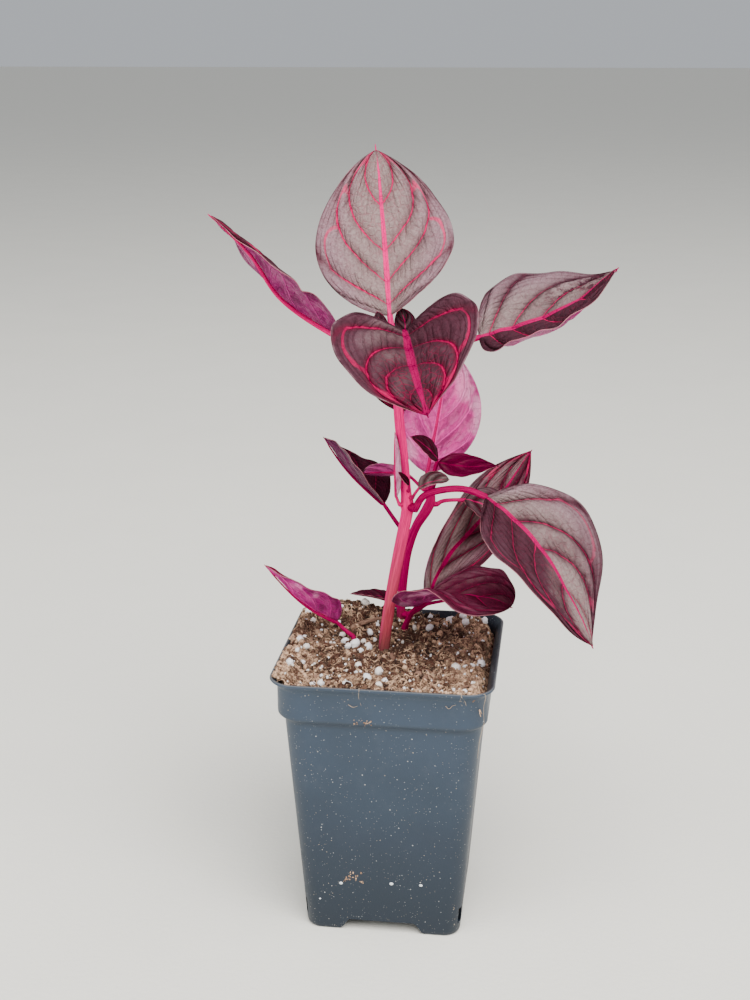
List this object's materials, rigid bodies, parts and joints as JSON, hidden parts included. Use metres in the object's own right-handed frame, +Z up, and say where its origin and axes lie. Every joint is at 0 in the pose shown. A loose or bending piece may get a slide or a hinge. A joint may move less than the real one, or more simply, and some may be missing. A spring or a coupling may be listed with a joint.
{
  "type": "potted_foliage_plant",
  "caption": "Young bloodleaf plant with broad arching-veined leaves on upright stems, in a tapered square nursery pot filled with potting mix",
  "frame": {"origin": "centre of the bounding box in plan, on the plane the pot's feet stand on", "axes": "+Z up the plant, X and Y along the pot's sides, -Y the side seen in the picture"},
  "size_m": [0.1523, 0.1305, 0.3116],
  "materials": {
    "pot_plastic": "satin",
    "mix": "matte",
    "stem": "satin",
    "leaf": "satin"
  },
  "bodies": {
    "root": {"pot": "pot_plastic", "potting_mix": "mix", "main_stem": "stem", "back_stem": "stem", "leaf_top_back": "leaf", "leaf_top_front": "leaf", "leaf_top_left": "leaf", "leaf_top_right": "leaf", "leaf_top_hanging": "leaf", "leaf_mid_right": "leaf", "leaf_low_right": "leaf", "leaf_low_left": "leaf", "leaf_back_left": "leaf", "leaf_back_right": "leaf", "leaf_back_upright": "leaf", "leaf_back_small": "leaf", "leaf_back_bud": "leaf", "leaf_back_inner": "leaf", "leaf_back_under": "leaf", "leaf_back_low": "leaf", "young_leaf_left": "leaf", "young_leaf_right": "leaf", "young_leaf_front": "leaf", "bud_leaf_left": "leaf", "bud_leaf_right": "leaf"}
  },
  "joints": []
}
